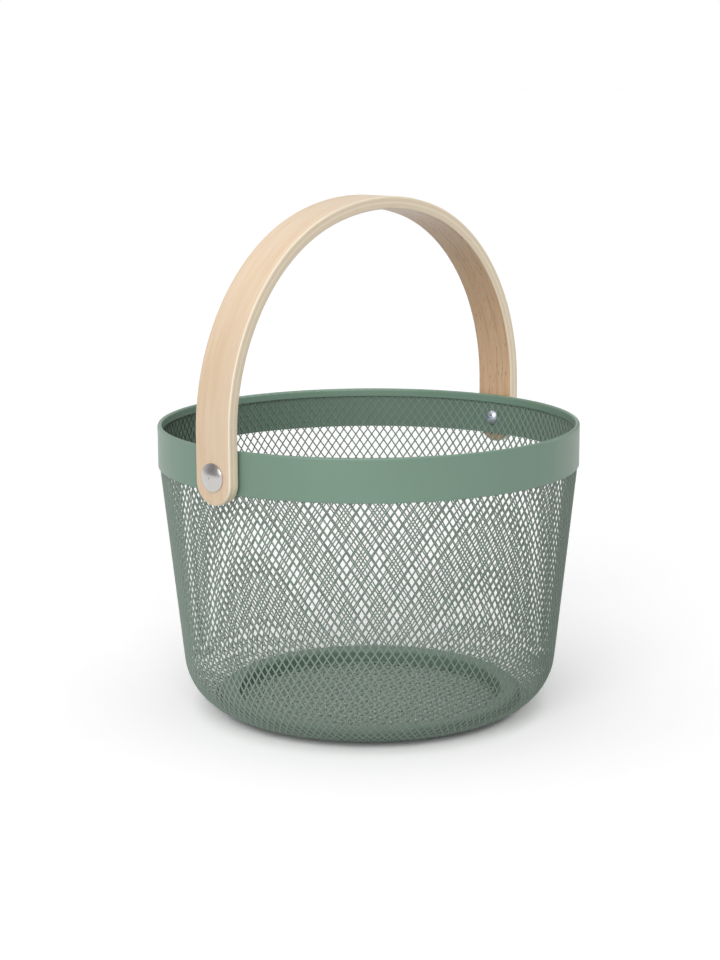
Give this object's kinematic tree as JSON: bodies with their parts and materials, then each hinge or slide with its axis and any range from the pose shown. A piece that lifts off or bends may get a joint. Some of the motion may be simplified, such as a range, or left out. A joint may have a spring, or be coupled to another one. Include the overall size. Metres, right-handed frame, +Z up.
{
  "type": "wire basket",
  "caption": "Round tapered basket of diamond mesh with a sheet rim band, a flat mesh floor in a base ring and a bent wooden carrying handle that swings on domed bolts.",
  "frame": {"origin": "middle of the base, on the floor that the base ring stands on", "axes": "+Z up the basket's axis; X along the handle's pivot axis, with the left pivot at -X; Y along the way the handle swings"},
  "size_m": [0.2732, 0.25, 0.3058],
  "materials": {
    "coated_mesh": "satin powder coat, sage green",
    "coated_sheet": "satin powder coat, sage green",
    "birch_plywood": "clear matt lacquer on birch plies",
    "bright_bolt": "polished nickel",
    "zinc_screw": "bright zinc plate",
    "washer_plastic": "plain nylon"
  },
  "bodies": {
    "basket": {"wall_mesh": "coated_mesh", "rim_band": "coated_sheet", "base_ring": "coated_sheet", "base_mesh": "coated_mesh", "dome_bolt_left": "bright_bolt", "dome_bolt_right": "bright_bolt", "pivot_screw_left": "zinc_screw", "pivot_screw_right": "zinc_screw", "spacer_washer_left": "washer_plastic", "spacer_washer_right": "washer_plastic"},
    "handle": {"handle": "birch_plywood"}
  },
  "joints": [
    {"name": "handle_swing", "type": "hinge", "parent": "basket", "child": "handle", "pos_m": [0, 0, 0.159], "axis": [1, 0, 0], "range_deg": [-117, 117]}
  ]
}
